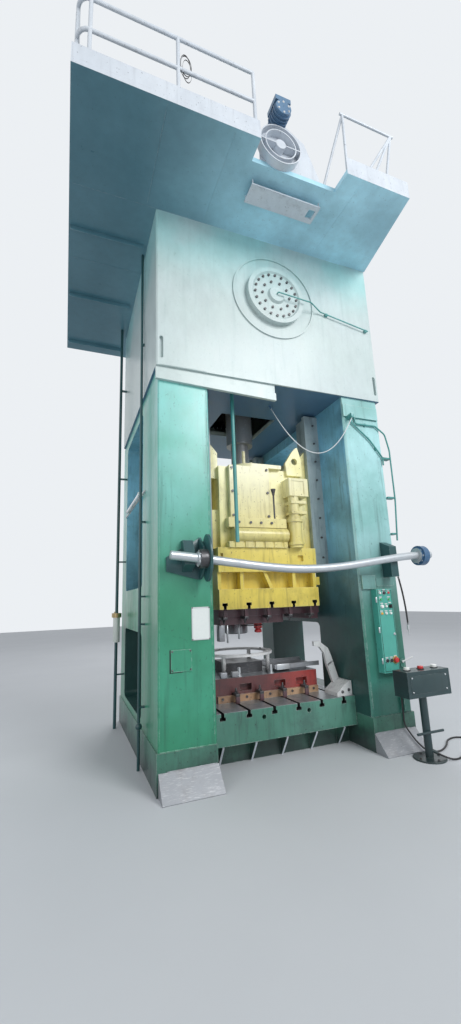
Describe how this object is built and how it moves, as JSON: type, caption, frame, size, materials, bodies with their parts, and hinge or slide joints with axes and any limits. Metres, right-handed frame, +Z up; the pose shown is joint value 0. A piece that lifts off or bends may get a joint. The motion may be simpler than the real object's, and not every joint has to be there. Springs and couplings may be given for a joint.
{
  "type": "trimming press",
  "caption": "Tall closed-frame forging trim press: window uprights, crown with crank drive, yellow slide over a T-slotted bolster, service deck, control panel and two-hand stand.",
  "frame": {"origin": "on the floor under the middle of the crank, midway between the uprights", "axes": "+X to the right seen from the operator, +Y from the front to the back, +Z up"},
  "size_m": [4.6092, 4.345, 7.415],
  "materials": {
    "teal_paint": "gloss",
    "green_paint": "gloss",
    "yellow_paint": "gloss",
    "steel": "satin",
    "dark_steel": "satin",
    "iron": "matt",
    "grey_paint": "satin",
    "maroon_paint": "satin",
    "red_paint": "satin",
    "white_paint": "satin",
    "blue_paint": "satin",
    "black_plastic": "matt",
    "white_plastic": "gloss",
    "red_plastic": "gloss",
    "rubber": "matt",
    "white_sheath": "satin",
    "bronze": "satin"
  },
  "bodies": {
    "frame": {"air_hose": "rubber", "air_unit": "bronze", "bar_brackets": "green_paint", "base": "green_paint", "bolster": "green_paint", "brake_guard": "grey_paint", "brake_motor": "blue_paint", "column_fittings": "green_paint", "control_cable": "rubber", "control_panel": "green_paint", "crank_bushes": "bronze", "crank_cover": "teal_paint", "crown": "teal_paint", "deck": "blue_paint", "drive_belts": "rubber", "flank_lamp": "white_paint", "flank_pipes": "white_paint", "flash_tray": "dark_steel", "foot_covers": "steel", "frame_bolts": "steel", "front_bar": "steel", "gauge_stand": "white_paint", "gibs": "yellow_paint", "handrails": "grey_paint", "hose_nozzle": "steel", "left_upright": "teal_paint", "lower_shoe": "red_paint", "lube_pipes": "steel", "motor": "blue_paint", "panel_lamps": "white_plastic", "pedestal": "green_paint", "right_upright": "green_paint", "ring_stand": "grey_paint", "tie_rods": "steel", "toe_boards": "grey_paint", "white_cable": "white_sheath"},
    "crank": {"crankshaft": "steel", "main_gear": "iron"},
    "eye": {"rod_eye": "iron"},
    "pinion": {"drive_shaft": "steel"},
    "wheel": {"flywheel": "iron"},
    "pulley": {"motor_pulley": "iron"},
    "ram": {"slide": "yellow_paint", "lower_rod": "steel", "worm_housing": "yellow_paint", "housing_fittings": "steel", "top_flange": "yellow_paint", "adjuster": "yellow_paint", "upper_tool": "maroon_paint"},
    "brake": {"brake_wheel": "grey_paint"},
    "run": {"run_button": "black_plastic"},
    "inch": {"inch_button": "white_plastic"},
    "up": {"up_button": "black_plastic"},
    "down": {"down_button": "black_plastic"},
    "stop": {"stop_button": "red_plastic"},
    "selector": {"mode_selector": "black_plastic"},
    "isolator": {"isolator_lever": "white_paint"},
    "left_cap": {"left_hand_cap": "white_plastic"},
    "stop_cap": {"stand_stop_cap": "white_plastic"},
    "right_cap": {"right_hand_cap": "white_plastic"}
  },
  "joints": [
    {"name": "crank_spin", "type": "hinge", "parent": "frame", "child": "crank", "pos_m": [0, -0.095, 5.42], "axis": [0, 1, 0], "continuous": true},
    {"name": "eye_turn", "type": "hinge", "parent": "crank", "child": "eye", "pos_m": [0, -0.095, 5.58], "axis": [0, 1, 0], "continuous": true},
    {"name": "pinion_spin", "type": "hinge", "parent": "frame", "child": "pinion", "pos_m": [0.65, 0.62, 6.28625], "axis": [0, 1, 0], "continuous": true},
    {"name": "flywheel_spin", "type": "hinge", "parent": "frame", "child": "wheel", "pos_m": [0.65, 1.44, 6.28625], "axis": [0, 1, 0], "continuous": true},
    {"name": "pulley_spin", "type": "hinge", "parent": "frame", "child": "pulley", "pos_m": [-0.56, 1.44, 7.16], "axis": [0, 1, 0], "continuous": true},
    {"name": "slide_stroke", "type": "slide", "parent": "frame", "child": "ram", "axis": [0, 0, 1], "range_m": [-0.32, 0]},
    {"name": "brake_spin", "type": "hinge", "parent": "frame", "child": "brake", "pos_m": [-0.34, -2.34, 6.51], "axis": [0, 1, 0], "continuous": true},
    {"name": "run_press", "type": "slide", "parent": "frame", "child": "run", "axis": [0, 1, 0], "range_m": [0, 0.006], "stiffness_N_per_m": 400},
    {"name": "inch_press", "type": "slide", "parent": "frame", "child": "inch", "axis": [0, 1, 0], "range_m": [0, 0.006], "stiffness_N_per_m": 400},
    {"name": "up_press", "type": "slide", "parent": "frame", "child": "up", "axis": [0, 1, 0], "range_m": [0, 0.006], "stiffness_N_per_m": 400},
    {"name": "down_press", "type": "slide", "parent": "frame", "child": "down", "axis": [0, 1, 0], "range_m": [0, 0.006], "stiffness_N_per_m": 400},
    {"name": "stop_press", "type": "slide", "parent": "frame", "child": "stop", "axis": [0, 1, 0], "range_m": [0, 0.006], "stiffness_N_per_m": 600},
    {"name": "selector_turn", "type": "hinge", "parent": "frame", "child": "selector", "pos_m": [1.245, -1.48, 1.55], "axis": [0, 1, 0], "range_deg": [-45, 45]},
    {"name": "isolator_turn", "type": "hinge", "parent": "frame", "child": "isolator", "pos_m": [1.395, -1.4, 0.915], "axis": [0, 1, 0], "range_deg": [0, 60]},
    {"name": "left_cap_press", "type": "slide", "parent": "frame", "child": "left_cap", "axis": [0, 0, -1], "range_m": [0, 0.008], "stiffness_N_per_m": 800},
    {"name": "stop_cap_press", "type": "slide", "parent": "frame", "child": "stop_cap", "axis": [0, 0, -1], "range_m": [0, 0.008], "stiffness_N_per_m": 800},
    {"name": "right_cap_press", "type": "slide", "parent": "frame", "child": "right_cap", "axis": [0, 0, -1], "range_m": [0, 0.008], "stiffness_N_per_m": 800}
  ],
  "couplings": [
    {"joint": "eye_turn", "follows": "crank_spin", "ratio": -1},
    {"joint": "pinion_spin", "follows": "crank_spin", "ratio": -4},
    {"joint": "pulley_spin", "follows": "flywheel_spin", "ratio": 4.2628}
  ]
}
